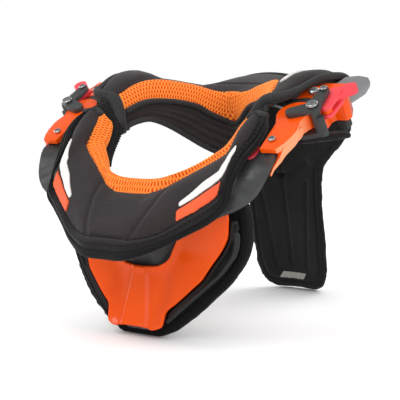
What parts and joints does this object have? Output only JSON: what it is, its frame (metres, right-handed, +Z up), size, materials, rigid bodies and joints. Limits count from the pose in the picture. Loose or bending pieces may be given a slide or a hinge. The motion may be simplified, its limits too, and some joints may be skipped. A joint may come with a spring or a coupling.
{
  "type": "neck brace",
  "caption": "Protective riding neck brace: padded front and rear collar halves, chest plate, back strut and a toggle latch on each side that opens so the front half swings away.",
  "frame": {"origin": "centre of the box on the surface it stands on", "axes": "+Z up, wearer faces -Y, wearer's left is +X"},
  "size_m": [0.297, 0.3148, 0.219],
  "materials": {
    "charcoal_cloth": "smooth neoprene-faced cloth",
    "black_binding": "woven edge binding",
    "orange_mesh": "spacer mesh",
    "black_mesh": "open mesh cloth",
    "reflective_tape": "satin reflective tape",
    "orange_pad": "speckled moulded rubber",
    "orange_plastic": "gloss",
    "dark_nylon": "moulded glass-filled nylon",
    "grey_nylon": "satin",
    "red_nylon": "satin",
    "black_rubber": "bumpy",
    "steel": "polished",
    "grey_patch": "printed patch"
  },
  "bodies": {
    "rear_half": {"rear_table_pad": "charcoal_cloth", "rear_table_binding": "black_binding", "rear_collar_mesh": "orange_mesh", "rear_lining": "charcoal_cloth", "rear_shell": "grey_nylon", "back_strut_pad": "charcoal_cloth", "strut_patch": "grey_patch", "rear_strip": "reflective_tape", "shoulder_flap_left": "charcoal_cloth", "shoulder_flap_right": "charcoal_cloth", "rear_arm_left": "orange_plastic", "rear_arm_right": "orange_plastic", "rear_arm_screw_left": "steel", "rear_arm_screw_right": "steel", "knuckle_socket_left": "dark_nylon", "knuckle_socket_right": "dark_nylon", "strap_tab_left": "grey_nylon", "strap_tab_right": "grey_nylon"},
    "front_half": {"front_table_pad": "charcoal_cloth", "front_table_binding": "black_binding", "front_collar_mesh": "orange_mesh", "front_frame": "dark_nylon", "chest_plate": "orange_plastic", "chest_pad": "charcoal_cloth", "front_strip_left": "reflective_tape", "front_strip_right": "reflective_tape", "front_accent_left": "orange_pad", "front_accent_right": "orange_pad", "collar_tab_left": "black_mesh", "collar_tab_right": "black_mesh", "chest_grip_left": "black_rubber", "chest_grip_right": "black_rubber", "front_arm_left": "orange_plastic", "front_arm_right": "orange_plastic", "arm_screw_left": "steel", "arm_screw_right": "steel"},
    "lever_left": {"lever_left": "red_nylon"},
    "lever_right": {"lever_right": "red_nylon"},
    "bail_left": {"bail_left": "dark_nylon", "bail_bolt_left": "steel", "link_screw_left": "steel"},
    "bail_right": {"bail_right": "dark_nylon", "bail_bolt_right": "steel", "link_screw_right": "steel"}
  },
  "joints": [
    {"name": "front_swing", "type": "hinge", "parent": "rear_half", "child": "front_half", "pos_m": [-0.111, -0.047, 0.17775], "axis": [0, 0.5446, -0.8387], "range_deg": [0, 25]},
    {"name": "lever_left_turn", "type": "hinge", "parent": "rear_half", "child": "lever_left", "pos_m": [0.133, -0.0361, 0.18483], "axis": [0, 0.5446, -0.8387], "range_deg": [0, 62]},
    {"name": "bail_left_turn", "type": "hinge", "parent": "lever_left", "child": "bail_left", "pos_m": [0.127, -0.03006, 0.20068], "axis": [0, 0.5446, -0.8387], "range_deg": [-65.1, 0]},
    {"name": "lever_right_turn", "type": "hinge", "parent": "rear_half", "child": "lever_right", "pos_m": [-0.133, -0.0361, 0.18483], "axis": [0, -0.5446, 0.8387], "range_deg": [0, 62]},
    {"name": "bail_right_turn", "type": "hinge", "parent": "lever_right", "child": "bail_right", "pos_m": [-0.127, -0.03006, 0.20068], "axis": [0, -0.5446, 0.8387], "range_deg": [-65.1, 0]}
  ],
  "couplings": [
    {"joint": "bail_left_turn", "follows": "lever_left_turn", "ratio": -1.05},
    {"joint": "bail_right_turn", "follows": "lever_right_turn", "ratio": -1.05}
  ]
}
